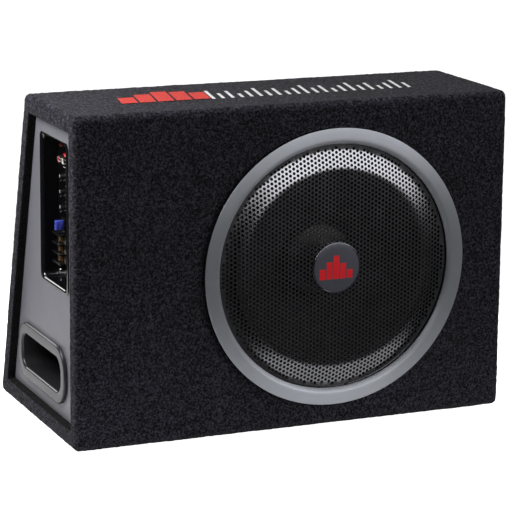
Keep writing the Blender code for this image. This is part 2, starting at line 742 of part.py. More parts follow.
def heatsink(near, far):
    """An extrusion with upright fins on its back."""
    fins, base, tall = 6, 4 * MM, 17 * MM
    front = FRONT + 130 * MM
    pitch = (far - near - 3 * MM) / (fins - 1)
    outline = [(near, front)]
    for i in range(fins):
        left = near + pitch * i
        outline += [(left, front + base), (left, front + tall), (left + 3 * MM, front + tall),
                    (left + 3 * MM, front + base)]
    outline.append((far, front))
    outline = [outline[0]] + outline[2:-2] + [outline[-1]]
    loops = [[(x, y, z) for x, y in outline] for z in (168 * MM, 338 * MM)]
    stack("heatsink", loops, "aluminium")


clear_scene()
front_baffle()
shell_boards()
end_boards()
fascia()
carpet()
port()
basket()
gasket()
basket_screws()
surround()
spider()
moving_parts()
motor()
terminals()
trim()
bezel()
connector_plate()
jacks()
knobs()
switch()
sockets()
fuse()
terminal_block()
inside_amp()
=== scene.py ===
"""Looks of the powered car subwoofer: a carpeted wedge, a driver behind its grille and an amplifier end.

Metres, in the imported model's frame: the driver faces -Y and the amplifier end faces -X. Insets run in
from the left end, depths run into the cabinet from the front carpet, and heights run up from the floor.
"""

import json
from math import cos, hypot, pi, radians, sin, sqrt

import bmesh
import bpy
from mathutils import Matrix, Vector, noise


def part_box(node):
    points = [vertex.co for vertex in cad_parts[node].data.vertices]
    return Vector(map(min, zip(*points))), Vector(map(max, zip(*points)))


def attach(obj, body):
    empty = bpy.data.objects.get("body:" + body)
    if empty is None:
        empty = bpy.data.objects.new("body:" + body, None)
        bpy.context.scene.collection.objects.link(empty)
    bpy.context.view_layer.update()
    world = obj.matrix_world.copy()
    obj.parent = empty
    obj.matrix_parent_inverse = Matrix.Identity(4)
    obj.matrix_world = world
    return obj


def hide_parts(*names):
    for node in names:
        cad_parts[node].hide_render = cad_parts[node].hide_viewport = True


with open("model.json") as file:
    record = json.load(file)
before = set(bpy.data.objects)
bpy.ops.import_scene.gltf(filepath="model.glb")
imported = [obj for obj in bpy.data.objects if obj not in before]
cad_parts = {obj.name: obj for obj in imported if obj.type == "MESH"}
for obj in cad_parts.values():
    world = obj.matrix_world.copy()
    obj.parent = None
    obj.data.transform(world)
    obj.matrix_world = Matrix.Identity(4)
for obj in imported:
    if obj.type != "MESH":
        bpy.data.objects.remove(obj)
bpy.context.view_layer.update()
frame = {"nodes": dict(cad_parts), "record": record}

MM = 0.001
BODY = "cabinet"
GAP = 0.3 * MM  # between pieces that touch
TIP_RADIUS = 0.02 * MM  # where a turned end closes

# Cabinet
WRAP_LOW, WRAP_HIGH = (Vector(corner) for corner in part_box("carpet_wrap"))
LEFT = WRAP_LOW.x
FRONT = WRAP_LOW.y
WIDTH = WRAP_HIGH.x - WRAP_LOW.x
HEIGHT = WRAP_HIGH.z - WRAP_LOW.z
DEPTH_TOP = 174 * MM
DEPTH_BOTTOM = 277 * MM
SLOPE = (DEPTH_BOTTOM - DEPTH_TOP) / HEIGHT
EDGE_RADIUS = 9 * MM
END_RADIUS = 6 * MM
LIP_RADIUS = 6 * MM
LIP_INNER_RADIUS = 2.5 * MM
LIP = 21.6 * MM
LEAST_RADIUS = 1.5 * MM
CORNER_STEPS = 6
SIDE_STEPS = (64, 88, 44, 88)
CARPET_ROWS = 150
CARPET_SINK = 0.42  # millimetres that the wavy skin lies inside its outline on average
CARPET_WAVES = ((26, 0.3), (110, 0.16), (290, 0.5))  # noise scales, and heights in millimetres
CARPET_HOLE = 152 * MM  # radius cut away under the ring
PRINT_LIFT = 0.25 * MM
PRINT_LEAN = 0.2
PANEL_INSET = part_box("left_fascia")[0][0] - LEFT

# Driver
RING_LOW, RING_HIGH = (Vector(corner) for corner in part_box("trim_ring"))
DRIVER = Vector(((RING_LOW.x + RING_HIGH.x) / 2, FRONT, (RING_LOW.z + RING_HIGH.z) / 2))
HOLE_PITCH = 5.05 * MM
HOLE_RADIUS = 1.8 * MM
PERFORATED_RADIUS = 136.5 * MM
GRILLE_RADIUS = 140.8 * MM
SHEET = 0.9 * MM
GRILLE_PROFILE = (
    (0, -5.45), (60, -5.3), (100, -5.1), (112, -4.95), (114, -4.75), (116, -4.4), (118, -3.95),
    (132.5, 0.0), (134.5, 0.4), (136.5, 0.5),
)

# Port and window, as depths and heights
PORT_DEPTHS = (70 * MM, 208 * MM)
PORT_HEIGHTS = (49 * MM, 88.5 * MM)
PORT_CORNER = 15.5 * MM
PORT_FLARE = 14 * MM
PORT_PROUD = 4.5 * MM
WINDOW_DEPTHS = (57 * MM, 138 * MM)
WINDOW_HEIGHTS = (171 * MM, 333.5 * MM)
WINDOW_CORNER = 7 * MM
BEZEL_DEPTHS = (48 * MM, 145 * MM)
BEZEL_HEIGHTS = (166.5 * MM, 337.5 * MM)
BEZEL_CORNER = 8 * MM
PLATE_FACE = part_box("connector_plate")[0][0]

# Stage
FLOOR_HALF = 0.5
FLOOR_MIDDLE = (0.02, 0.25, 0)
FLOOR_TURN = radians(7)
FLOOR_GLOW = 0.93
FLOOR_LIGHT = 0.15
SURROUND_LIGHT = 0.028
SURROUND_SEEN = 1.1

# Carpet colours
CARPET_DARK = (0.0007, 0.0006, 0.0016)
CARPET_LIGHT = (0.0690, 0.0640, 0.0890)


# Materials


class Look:
    """A Principled material under construction, with the nodes that the surfaces share."""

    def __init__(self, name, colour, roughness, metallic=0.0, **sockets):
        self.material = bpy.data.materials.new(name)
        self.material.use_nodes = True
        self.tree = self.material.node_tree
        self.shader = self.tree.nodes["Principled BSDF"]
        self.shader.inputs["Base Color"].default_value = (*colour, 1)
        self.shader.inputs["Roughness"].default_value = roughness
        self.shader.inputs["Metallic"].default_value = metallic
        for socket, value in sockets.items():
            self.shader.inputs[socket.replace("_", " ")].default_value = value
        self.place = self.node("ShaderNodeTexCoord").outputs["Object"]

    def node(self, kind, **settings):
        made = self.tree.nodes.new(kind)
        for key, value in settings.items():
            setattr(made, key, value)
        return made

    def link(self, output, target):
        self.tree.links.new(output, target)

    def grain(self, scale, detail, roughness, stretch=None):
        """Noise with about one blotch every 1 / scale metres."""
        place = self.place
        if stretch:
            mapping = self.node("ShaderNodeMapping")
            mapping.inputs["Scale"].default_value = stretch
            self.link(place, mapping.inputs["Vector"])
            place = mapping.outputs["Vector"]
        texture = self.node("ShaderNodeTexNoise")
        texture.inputs["Scale"].default_value = scale
        texture.inputs["Detail"].default_value = detail
        texture.inputs["Roughness"].default_value = roughness
        self.link(place, texture.inputs["Vector"])
        return texture.outputs["Fac"]

    def ramp(self, source, *stops):
        """Colours, or grey values, at positions along a value."""
        made = self.node("ShaderNodeValToRGB")
        elements = made.color_ramp.elements
        while len(elements) < len(stops):
            elements.new(0.5)
        for element, (position, colour) in zip(elements, stops):
            element.position = position
            element.color = (colour, colour, colour, 1) if isinstance(colour, float) else (*colour, 1)
        self.link(source, made.inputs["Fac"])
        return made.outputs["Color"]

    def mix(self, kind, factor, a, b):
        made = self.node("ShaderNodeMix", data_type="RGBA", blend_type=kind)
        for value, socket in ((factor, made.inputs["Factor"]), (a, made.inputs["A"]), (b, made.inputs["B"])):
            if isinstance(value, bpy.types.NodeSocket):
                self.link(value, socket)
            else:
                socket.default_value = value
        return made.outputs["Result"]

    def colour(self, output):
        self.link(output, self.shader.inputs["Base Color"])

    def roughness(self, source, low, high):
        spread = self.node("ShaderNodeMapRange")
        spread.inputs["To Min"].default_value = low
        spread.inputs["To Max"].default_value = high
        self.link(source, spread.inputs["Value"])
        self.link(spread.outputs["Result"], self.shader.inputs["Roughness"])

    def bump(self, height, distance, under=None):
        made = self.node("ShaderNodeBump")
        made.inputs["Distance"].default_value = distance
        made.inputs["Strength"].default_value = 1.0
        self.link(height, made.inputs["Height"])
        if under:
            self.link(under, made.inputs["Normal"])
        self.link(made.outputs["Normal"], self.shader.inputs["Normal"])
        return made.outputs["Normal"]


def felt(name, dark, light, ink=None):
    """Needled car carpet: matted fibres, flecks and slow changes of shade; ink sits on the fibre tips."""
    look = Look(name, dark, 0.95, Sheen_Weight=0.05, Sheen_Roughness=0.5, Specular_IOR_Level=0.1)
    nap = (1.0, 0.4, 1.0)
    fibres = look.grain(400, 3.0, 0.78, nap)
    shade = look.ramp(fibres, (0.43, dark), (0.60, light))
    tufts = look.ramp(look.grain(230, 3.0, 0.7, nap), (0.40, 0.42), (0.60, 1.0))
    slow = look.ramp(look.grain(9, 3.0, 0.6), (0.3, 0.86), (0.7, 1.0))
    shade = look.mix("MULTIPLY", 1.0, look.mix("MULTIPLY", 1.0, shade, tufts), slow)
    if ink:
        cover = look.ramp(look.grain(620, 2.0, 0.7), (0.33, 0.0), (0.42, 1.0))
        shade = look.mix("MIX", cover, shade, (*ink, 1))
    look.colour(shade)
    matted = look.bump(look.grain(210, 4.0, 0.7, nap), 0.0030)
    look.bump(fibres, 0.0022, matted)
    return look.material


def spun_metal(name, colour, roughness):
    """Satin paint over a spun ring: the finish runs round the ring, so light spreads across it."""
    look = Look(name, colour, roughness, 0.76, Anisotropic=0.75, Anisotropic_Rotation=0.25)
    tangent = look.node("ShaderNodeTangent", direction_type="RADIAL", axis="Y")
    look.link(tangent.outputs["Tangent"], look.shader.inputs["Tangent"])
    slow = look.grain(16, 3.0, 0.6)
    darker = tuple(channel * 0.93 for channel in colour)
    lighter = tuple(channel * 1.05 for channel in colour)
    look.colour(look.ramp(slow, (0.3, darker), (0.7, lighter)))
    look.roughness(look.grain(60, 4.0, 0.65), roughness - 0.04, roughness + 0.05)
    look.bump(look.grain(1800, 2.0, 0.6), 0.00003)
    return look.material


def paint(name, colour, roughness, metallic=0.0, grain_scale=900, grain_depth=0.00012, wear=0.08, **sockets):
    """Painted, moulded or plated surfaces: a fine grain, a slow shift of shade and uneven gloss."""
    look = Look(name, colour, roughness, metallic, **sockets)
    slow = look.grain(14, 3.0, 0.6)
    darker = tuple(channel * (1 - wear) for channel in colour)
    lighter = tuple(min(channel * (1 + wear), 1.0) for channel in colour)
    look.colour(look.ramp(slow, (0.3, darker), (0.7, lighter)))
    look.roughness(look.grain(45, 4.0, 0.65), max(roughness - 0.06, 0.05), roughness + 0.06)
    look.bump(look.grain(grain_scale, 2.0, 0.6), grain_depth)
    return look.material


def board_wood():
    """Fibreboard: pale brown, with short fibres along the sheet."""
    look = Look("fibreboard_look", (0.30, 0.20, 0.12), 0.8)
    fibres = look.grain(400, 4.0, 0.7, (1.0, 1.0, 0.25))
    look.colour(look.ramp(fibres, (0.3, (0.24, 0.155, 0.085)), (0.7, (0.37, 0.25, 0.145))))
    look.bump(fibres, 0.0003)
    return look.material


def woven_cloth():
    """The spider's resin-stiffened weave."""
    look = Look("spider_look", (0.42, 0.27, 0.09), 0.85)
    waves = []
    for direction in ("X", "Z"):
        wave = look.node("ShaderNodeTexWave", bands_direction=direction)
        wave.inputs["Scale"].default_value = 260
        look.link(look.place, wave.inputs["Vector"])
        waves.append(wave.outputs["Fac"])
    weave = look.mix("MULTIPLY", 1.0, waves[0], waves[1])
    look.colour(look.ramp(weave, (0.0, (0.26, 0.15, 0.04)), (0.7, (0.52, 0.36, 0.14))))
    look.bump(weave, 0.0003)
    return look.material


def pressed_paper():
    """The cone's black pulp, with flecks."""
    look = Look("paper_look", (0.010, 0.010, 0.011), 0.8)
    pulp = look.grain(500, 4.0, 0.75)
    look.colour(look.ramp(pulp, (0.3, (0.007, 0.007, 0.008)), (0.75, (0.020, 0.020, 0.022))))
    look.bump(pulp, 0.0004)
    return look.material


def wound_wire(name, colour):
    """Enamelled wire laid turn beside turn."""
    look = Look(name, colour, 0.3, 1.0)
    wave = look.node("ShaderNodeTexWave", bands_direction="Y")
    wave.inputs["Scale"].default_value = 380
    wave.inputs["Distortion"].default_value = 0.6
    look.link(look.place, wave.inputs["Vector"])
    darker = tuple(channel * 0.35 for channel in colour)
    look.colour(look.ramp(wave.outputs["Fac"], (0.1, darker), (0.6, colour)))
    look.bump(wave.outputs["Fac"], 0.0003)
    return look.material


LOOKS = {
    "carpet": felt("carpet_look", CARPET_DARK, CARPET_LIGHT),
    # A near-black copy of the carpet felt: painted shade on the lip's inner walls round the end panel.
    "carpet_painted_shade": felt("carpet_painted_shade_look", (0.0010, 0.0010, 0.0012), (0.0060, 0.0056, 0.0066)),
    "port_rim": paint("port_rim_look", (0.036, 0.035, 0.042), 0.2, grain_depth=0.00005, wear=0.05,
                      Specular_IOR_Level=0.35),
    # Near-black for the port's inside, darker than the rim's plastic: painted shade deep in the port.
    "duct": paint("duct_painted_shade_look", (0.015, 0.015, 0.017), 0.42),
    "fibreboard": board_wood(),
    "fascia": paint("fascia_look", (0.190, 0.188, 0.214), 0.42, grain_scale=1300, wear=0.06),
    "ring": spun_metal("ring_look", (0.455, 0.472, 0.515), 0.48),
    "black_steel": paint("black_steel_look", (0.275, 0.275, 0.295), 0.22, 1.0, 1500, 0.00002),
    "black_plastic": paint("black_plastic_look", (0.006, 0.006, 0.007), 0.22, grain_depth=0.00004),
    "gloss_black": paint("gloss_black_look", (0.004, 0.004, 0.005), 0.12, grain_depth=0.00002,
                         Specular_IOR_Level=1.0),
    # A darker, duller copy of the gloss black: painted shade on the amplifier tub's inner walls.
    "tub_painted_shade": paint("tub_painted_shade_look", (0.003, 0.003, 0.004), 0.4, grain_depth=0.00004,
                       Specular_IOR_Level=0.12),
    "cap": paint("cap_look", (0.030, 0.030, 0.034), 0.30, grain_depth=0.00003),
    "lamp": paint("lamp_look", (0.10, 0.006, 0.006), 0.12, grain_depth=0.00002),
    "rubber": paint("rubber_look", (0.014, 0.014, 0.014), 0.62),
    "spider_cloth": woven_cloth(),
    "paper": pressed_paper(),
    "polyimide": paint("polyimide_look", (0.42, 0.20, 0.04), 0.35),
    "copper": wound_wire("copper_look", (0.70, 0.30, 0.14)),
    "zinc": paint("zinc_look", (0.62, 0.58, 0.48), 0.32, 1.0),
    "ferrite": paint("ferrite_look", (0.035, 0.035, 0.038), 0.6),
    "badge": paint("badge_look", (0.125, 0.127, 0.155), 0.25, 0.35, 2600, 0.00002),
    "badge_rim": paint("badge_rim_look", (0.10, 0.10, 0.115), 0.22, 0.8, 2600, 0.00002),
    "red_plastic": paint("red_plastic_look", (0.55, 0.012, 0.018), 0.28),
    "white_plastic": paint("white_plastic_look", (0.78, 0.75, 0.66), 0.3),
    "blue_plastic": paint("blue_plastic_look", (0.085, 0.115, 0.66), 0.13, grain_depth=0.00003, wear=0.25),
    "brass": paint("brass_look", (0.85, 0.53, 0.26), 0.34, 1.0, wear=0.2),
    "silver": paint("silver_look", (0.80, 0.79, 0.76), 0.2, 1.0, wear=0.1),
    "board_green": paint("board_green_look", (0.015, 0.13, 0.05), 0.4),
    "aluminium": paint("aluminium_look", (0.60, 0.61, 0.62), 0.38, 1.0, 500, 0.00008),
    "cable_red": paint("cable_red_look", (0.45, 0.02, 0.02), 0.45),
    "cable_black": paint("cable_black_look", (0.012, 0.012, 0.012), 0.45),
    "red_ink": felt("red_ink_look", CARPET_DARK, CARPET_LIGHT, (0.66, 0.055, 0.042)),
    "white_ink": felt("white_ink_look", CARPET_DARK, CARPET_LIGHT, (0.80, 0.79, 0.80)),
    "mark_red": paint("mark_red_look", (0.84, 0.014, 0.024), 0.35, wear=0.05),
}


# Mesh helpers


def add(name, bm, look, smooth=True, replaced=(), body=BODY, second=None):
    """Makes a piece of a bmesh, gives it its material and lets it ride on a body.

    second is a look and a test on a face's middle, for the faces that differ.
    """
    bmesh.ops.recalc_face_normals(bm, faces=bm.faces)
    if second:
        for face in bm.faces:
            face.material_index = int(second[1](face.calc_center_median()))
    mesh_data = bpy.data.meshes.new(name)
    bm.to_mesh(mesh_data)
    bm.free()
    if smooth:
        mesh_data.shade_smooth()
        mesh_data.set_sharp_from_angle(angle=radians(40))
    piece = bpy.data.objects.new(name, mesh_data)
    bpy.context.scene.collection.objects.link(piece)
    mesh_data.materials.append(LOOKS[look])
    if second:
        mesh_data.materials.append(LOOKS[second[0]])
    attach(piece, body)
    if replaced:
        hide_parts(*replaced)


def bridge(bm, loops, ring=False, caps=False):
    """Joins loops of equal length with quads."""
    rows = [[bm.verts.new(point) for point in loop] for loop in loops]
    pairs = list(zip(rows, rows[1:]))
    if ring:
        pairs.append((rows[-1], rows[0]))
    for low, high in pairs:
        for i in range(len(low)):
            j = (i + 1) % len(low)
            bm.faces.new((low[i], low[j], high[j], high[i]))
    if caps:
        bm.faces.new(rows[0])
        bm.faces.new(rows[-1])
    return rows


def circle(centre, radius, along, axis, steps):
    """A loop about the X or Y axis, moved along the axis."""
    points = []
    for i in range(steps):
        a, b = radius * cos(2 * pi * i / steps), radius * sin(2 * pi * i / steps)
        offset = Vector((along, a, b)) if axis == "X" else Vector((a, along, b))
        points.append(centre + offset)
    return points


def lathe(bm, outline, centre, axis, steps, ring=False):
    """Turns (radius, place along the axis) points; one that isn't a closed ring is capped at both ends."""
    loops = [circle(centre, max(radius, TIP_RADIUS), along, axis, steps) for radius, along in outline]
    bridge(bm, loops, ring=ring, caps=not ring)


def box(bm, low, high, bevel=0.0):
    """A box between two corners, with rounded edges where bevel isn't 0."""
    centre = (Vector(low) + Vector(high)) / 2
    size = Vector(high) - Vector(low)
    made = bmesh.ops.create_cube(bm, size=1, matrix=Matrix.Translation(centre) @ Matrix.Diagonal((*size, 1)))
    if bevel:
        edges = list({edge for vert in made["verts"] for edge in vert.link_edges})
        bmesh.ops.bevel(bm, geom=edges, offset=bevel, segments=2, affect="EDGES", profile=0.5)


def arc(centre, radius, start, end, count):
    """Points on an arc, with angles in degrees."""
    points = []
    for i in range(count + 1):
        angle = radians(start + (end - start) * i / count)
        points.append((centre[0] + radius * cos(angle), centre[1] + radius * sin(angle)))
    return points


def in_mm(points):
    return [(a * MM, b * MM) for a, b in points]


def rounded(corners, radius, count, side_steps=(1, 1, 1, 1)):
    """A convex outline with its corners rounded and its sides divided into steps."""
    points = []
    ends = []
    for i, corner in enumerate(corners):
        here = Vector(corner)
        before = (Vector(corners[i - 1]) - here).normalized()
        after = (Vector(corners[(i + 1) % len(corners)]) - here).normalized()
        half = before.angle(after) / 2
        centre = here + (before + after).normalized() * radius / sin(half)
        reach = radius * cos(half) / sin(half)
        first, last = here + before * reach - centre, here + after * reach - centre
        turn = first.angle_signed(last)
        bend = []
        for step in range(count + 1):
            spoke = first.copy()
            spoke.rotate(Matrix.Rotation(-turn * step / count, 2))
            bend.append(centre + spoke)
        ends.append(bend)
    for i, bend in enumerate(ends):
        points += [tuple(point) for point in bend]
        start, stop = bend[-1], ends[(i + 1) % len(ends)][0]
        for step in range(1, side_steps[i]):
            points.append(tuple(start.lerp(stop, step / side_steps[i])))
    return points


def back_depth(height, inset):
    return DEPTH_BOTTOM - SLOPE * height - inset * hypot(1, SLOPE)


def section(inset):
    """The cabinet's outline, moved in by inset: bottom, back, top and front sides."""
    low, high = inset, HEIGHT - inset
    corners = [(inset, low), (back_depth(low, inset), low), (back_depth(high, inset), high), (inset, high)]
    return rounded(corners, max(EDGE_RADIUS - inset, LEAST_RADIUS), CORNER_STEPS, SIDE_STEPS)


def rectangle(depths, heights, grow):
    (front, back), (low, high) = depths, heights
    return [
        (front - grow, low - grow),
        (back + grow, low - grow),
        (back + grow, high + grow),
        (front - grow, high + grow),
    ]


def slot_outline(grow):
    return rounded(rectangle(PORT_DEPTHS, PORT_HEIGHTS, grow), PORT_CORNER + grow, 12)


def at_inset(points, inset):
    return [Vector((LEFT + inset, FRONT + depth, height)) for depth, height in points]


# Cabinet


def carpet():
    """One skin with soft edges, pulled tight enough to show only faint waves."""
    quarter = [(sin(radians(a)), 1 - cos(radians(a))) for a in range(0, 91, 15)]
    loops = []
    for share in (0.04, 0.25, 0.5, 0.75, 0.93):
        flat = section(END_RADIUS)
        middle = Vector((sum(p[0] for p in flat) / len(flat), sum(p[1] for p in flat) / len(flat)))
        loops.append(at_inset([tuple(middle.lerp(Vector(p), share)) for p in flat], WIDTH))
    for out, back in quarter:
        loops.append(at_inset(section(END_RADIUS * (1 - out)), WIDTH - END_RADIUS * back))
    stretch = WIDTH - END_RADIUS - LIP_RADIUS
    for i in range(1, CARPET_ROWS + 1):
        loops.append(at_inset(section(0), WIDTH - END_RADIUS - stretch * i / CARPET_ROWS))
    for out, back in reversed(quarter[:-1]):
        loops.append(at_inset(section(LIP_RADIUS * (1 - out)), LIP_RADIUS * back))
    for out, back in quarter:
        loops.append(at_inset(section(LIP - LIP_INNER_RADIUS * (1 - out)), LIP_INNER_RADIUS * back))
    loops.append(at_inset(section(LIP), PANEL_INSET))
    bm = bmesh.new()
    rows = bridge(bm, loops)
    bm.faces.new(rows[0])
    bmesh.ops.recalc_face_normals(bm, faces=bm.faces)
    bm.normal_update()
    for vert in bm.verts:
        height = sum(noise.noise(vert.co * scale) * size for scale, size in CARPET_WAVES)
        vert.co += vert.normal * (height - CARPET_SINK) * MM
    under_ring = []
    for face in bm.faces:
        offset = face.calc_center_median() - DRIVER
        if abs(offset.y) < 3 * MM and hypot(offset.x, offset.z) < CARPET_HOLE:
            under_ring.append(face)
    bmesh.ops.delete(bm, geom=under_ring, context="FACES")
    edge = LIP - 1.6 * MM

    # Faces on the lip's inner walls, in to the panel, take the near-black felt: painted shade in the recess.
    def painted_shade_in_lip(middle):
        depth = middle.y - FRONT
        inner = edge < middle.z < HEIGHT - edge and edge < depth < back_depth(middle.z, edge)
        return inner and middle.x < LEFT + PANEL_INSET + 1 * MM

    add("carpet_skin", bm, "carpet", replaced=("carpet_wrap", "carpet_bottom", "carpet_right_end"),
        second=("carpet_painted_shade", painted_shade_in_lip))


def top_print():
    """A plain striped device: five slanted red bars, and a row of thinner white ones."""
    bm = bmesh.new()
    for i, far in enumerate((100, 114, 126, 120, 108)):
        slanted_bar(bm, (78 + 21.6 * i) * MM, 19 * MM, 64 * MM, far * MM)
    add("top_print_red", bm, "red_ink", smooth=False)
    bm = bmesh.new()
    levels = (1.0, 0.62, 0.84, 0.45, 0.72)
    for i in range(22):
        left = (184 + 11.6 * i) * MM
        near = 60 * MM
        slanted_bar(bm, left, 4 * MM, near, near + 54 * MM * levels[i % 5])
    add("top_print_white", bm, "white_ink", smooth=False)


def slanted_bar(bm, left, wide, near, far):
    """A flat inked patch on the top carpet, from the inset left and between two depths."""
    lean = (far - near) * PRINT_LEAN
    outline = [(left, near), (left + wide, near), (left + wide + lean, far), (left + lean, far)]
    bm.faces.new([bm.verts.new((LEFT + x, FRONT + y, HEIGHT + PRINT_LIFT)) for x, y in outline])


def port_lip():
    """The rolled mouth, as round as a moulding."""
    crest, inner, outer = PANEL_INSET - PORT_PROUD, 3 * MM, 2.2 * MM
    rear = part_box("port_flare")[1][0] - LEFT
    seat = PANEL_INSET - GAP
    path = [(0, rear), (0, crest + inner + 0.2 * MM)]
    path += [(inner - across, crest + inner - along) for across, along in arc((0, 0), inner, 0, 90, 8)]
    path += [(PORT_FLARE - outer + across, crest + outer - along)
             for across, along in reversed(arc((0, 0), outer, 0, 90, 8))]
    path += [(PORT_FLARE, seat), (3 * MM, seat), (3 * MM, rear)]
    bm = bmesh.new()
    bridge(bm, [at_inset(slot_outline(grow), inset) for grow, inset in path], ring=True)
    # Faces past the panel's face take the near-black duct look: painted shade inside the port.
    add("port_lip", bm, "port_rim", replaced=("port_flare",),
        second=("duct", lambda middle: middle.x > LEFT + PANEL_INSET + GAP))


# Front


def trim_ring():
    """Convex satin ring with a rolled inner edge."""
    outline = [(160, -0.3), (160, -5.7), (159.85, -6.1), (159.5, -6.4), (159.1, -6.5)]
    outline += [(154, -6.85), (149.2, -7.15), (146.6, -7.2), (145.6, -7), (144.4, -6.3)]
    outline += [(143.2, -5.3), (142.2, -4.2), (141.6, -3.2), (141.3, -2)]
    outline += [(141.3, 1.5), (143, 1.5), (143, -2.6), (147, -4.8), (156, -4.8), (158, -3.4), (158, -0.3)]
    bm = bmesh.new()
    lathe(bm, in_mm(outline), DRIVER, "Y", 160, ring=True)
    # The outer wall takes black plastic, not the satin paint: painted shade round the ring.
    add("trim_ring_skin", bm, "ring", replaced=("trim_ring",), second=("black_plastic", ring_wall_painted_shade))


def ring_wall_painted_shade(middle):
    """True on the ring's outer wall and inside, which stay black: on the outer wall this is painted shade
    round the ring's edge.
    """
    radius = hypot(middle.x - DRIVER.x, middle.z - DRIVER.z)
    return radius > 159.8 * MM or middle.y > FRONT - 1 * MM


def grille_depth(radius):
    """The sheet's depth: nearly flat in the middle, then a conical shoulder down to the rim."""
    for (near, a), (far, b) in zip(GRILLE_PROFILE, GRILLE_PROFILE[1:]):
        if radius <= far * MM:
            return (a + (b - a) * max(radius / MM - near, 0) / (far - near)) * MM
    return GRILLE_PROFILE[-1][1] * MM


def on_grille(x, z, back=0.0):
    """A point on the sheet from its offsets, held inside the rim."""
    radius = hypot(x, z)
    if radius > GRILLE_RADIUS:
        x, z = x * GRILLE_RADIUS / radius, z * GRILLE_RADIUS / radius
    return DRIVER + Vector((x, grille_depth(radius) + back, z))


def grille():
    """Perforated sheet: a hexagonal cell round each hole, with its wall, and plain cells at the rim."""
    bm = bmesh.new()
    shared = {}

    def sheet_vert(x, z):
        key = (round(x / MM * 50), round(z / MM * 50))
        if key not in shared:
            shared[key] = bm.verts.new(on_grille(x, z))
        return shared[key]

    column, reach = HOLE_PITCH * sqrt(3) / 2, HOLE_PITCH / sqrt(3)
    rows = int(GRILLE_RADIUS / column) + 2
    for i in range(-rows, rows + 1):
        for j in range(-rows - 2, rows + 3):
            x, z = i * column, (j + (i % 2) / 2) * HOLE_PITCH
            radius = hypot(x, z)
            if radius > GRILLE_RADIUS + 1.5 * MM:
                continue
            rim = []
            for k in range(6):
                a, b = pi / 3 * k, pi / 3 * (k + 1)
                here = (x + reach * cos(a), z + reach * sin(a))
                after = (x + reach * cos(b), z + reach * sin(b))
                rim += [here, ((here[0] + after[0]) / 2, (here[1] + after[1]) / 2)]
            outer = [sheet_vert(*point) for point in rim]
            if radius > PERFORATED_RADIUS:
                bm.faces.new(outer)
                continue
            front, wall = [], []
            for k in range(12):
                hole_x = x + HOLE_RADIUS * cos(pi / 6 * k)
                hole_z = z + HOLE_RADIUS * sin(pi / 6 * k)
                front.append(bm.verts.new(on_grille(hole_x, hole_z)))
                wall.append(bm.verts.new(on_grille(hole_x, hole_z, SHEET)))
            for k in range(12):
                n = (k + 1) % 12
                bm.faces.new((outer[k], outer[n], front[n], front[k]))
                bm.faces.new((front[k], front[n], wall[n], wall[k]))
    add("grille_sheet", bm, "black_steel", replaced=("grille",))


def badge():
    """A shallow dome with a metal rim and five level bars, a plain sound-level device."""
    rim = in_mm([(27.9, -6.9), (28.5, -7.3), (29.3, -7.1), (29.8, -6.4), (29.8, -5.8), (27.9, -5.8)])
    bm = bmesh.new()
    lathe(bm, rim, DRIVER, "Y", 96, ring=True)
    add("badge_rim", bm, "badge_rim", replaced=("badge",))
    dome = [(0, -5.8), (28, -5.8), (28, -6.7)]
    dome += [(r, badge_height(r)) for r in (26, 22, 17, 11, 5, 0)]
    bm = bmesh.new()
    lathe(bm, in_mm(dome), DRIVER, "Y", 96)
    add("badge_dome", bm, "badge")
    bm = bmesh.new()
    for i, tall in enumerate((12, 20, 27, 18, 10)):
        badge_bar(bm, (-21.4 + 8.4 * i, -12.5), (7.2, tall))
    add("badge_mark", bm, "mark_red", smooth=False)


def badge_height(radius):
    return -7.95 + 1.05 * (radius / 28) ** 2


def badge_bar(bm, corner, size):
    """A raised bar that follows the dome."""
    steps = 6
    rows = []
    for lift in (0.3, -0.06):
        for side in (0, 1):
            row = []
            for i in range(steps + 1):
                x, z = corner[0] + size[0] * side, corner[1] + size[1] * i / steps
                row.append(bm.verts.new(DRIVER + Vector((x, badge_height(hypot(x, z)) + lift, z)) * MM))
            rows.append(row)
    order = (rows[0], rows[1], rows[3], rows[2])
    for a, b in zip(order, order[1:] + order[:1]):
        for i in range(steps):
            bm.faces.new((a[i], a[i + 1], b[i + 1], b[i]))
    for i in (0, steps):
        bm.faces.new([row[i] for row in order])


# Amplifier window


def window_outline(grow):
    return rounded(rectangle(WINDOW_DEPTHS, WINDOW_HEIGHTS, grow), WINDOW_CORNER, 8)


def bezel():
    """The black tub, its flange and the glossy chamfer round its mouth."""
    def flange(inward):
        return rounded(rectangle(BEZEL_DEPTHS, BEZEL_HEIGHTS, -inward), BEZEL_CORNER - inward, 8)

    seat, face = PANEL_INSET - GAP, PANEL_INSET - 1 * MM
    rear = PLATE_FACE - LEFT - GAP
    loops = [
        at_inset(window_outline(0), rear),
        at_inset(window_outline(0), face + 3 * MM),
        at_inset(window_outline(0.3 * MM), face + 1.7 * MM),
        at_inset(window_outline(1.1 * MM), face + 0.7 * MM),
        at_inset(window_outline(2.3 * MM), face),
        at_inset(flange(0.4 * MM), face),
        at_inset(flange(0.1 * MM), face + 0.15 * MM),
        at_inset(flange(0), face + 0.4 * MM),
        at_inset(flange(0), seat),
        at_inset(window_outline(2.8 * MM), seat),
        at_inset(window_outline(2.8 * MM), rear),
    ]
    bm = bmesh.new()
    bridge(bm, loops, ring=True)

    # The tub's walls past the chamfer, all but its floor, take the darker, duller black: painted shade in
    # the recess.
    def painted_shade_walls(middle):
        return middle.x > LEFT + face + 2.9 * MM and middle.z > WINDOW_HEIGHTS[0] + 2 * MM

    add("amp_bezel_skin", bm, "gloss_black", replaced=("amp_bezel",),
        second=("tub_painted_shade", painted_shade_walls))


def plate_at(depth, height, proud=0.0):
    return Vector((PLATE_FACE - proud * MM, FRONT + depth * MM, height * MM))


def centre_of(node):
    low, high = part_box(node)
    return (Vector(low) + Vector(high)) / 2


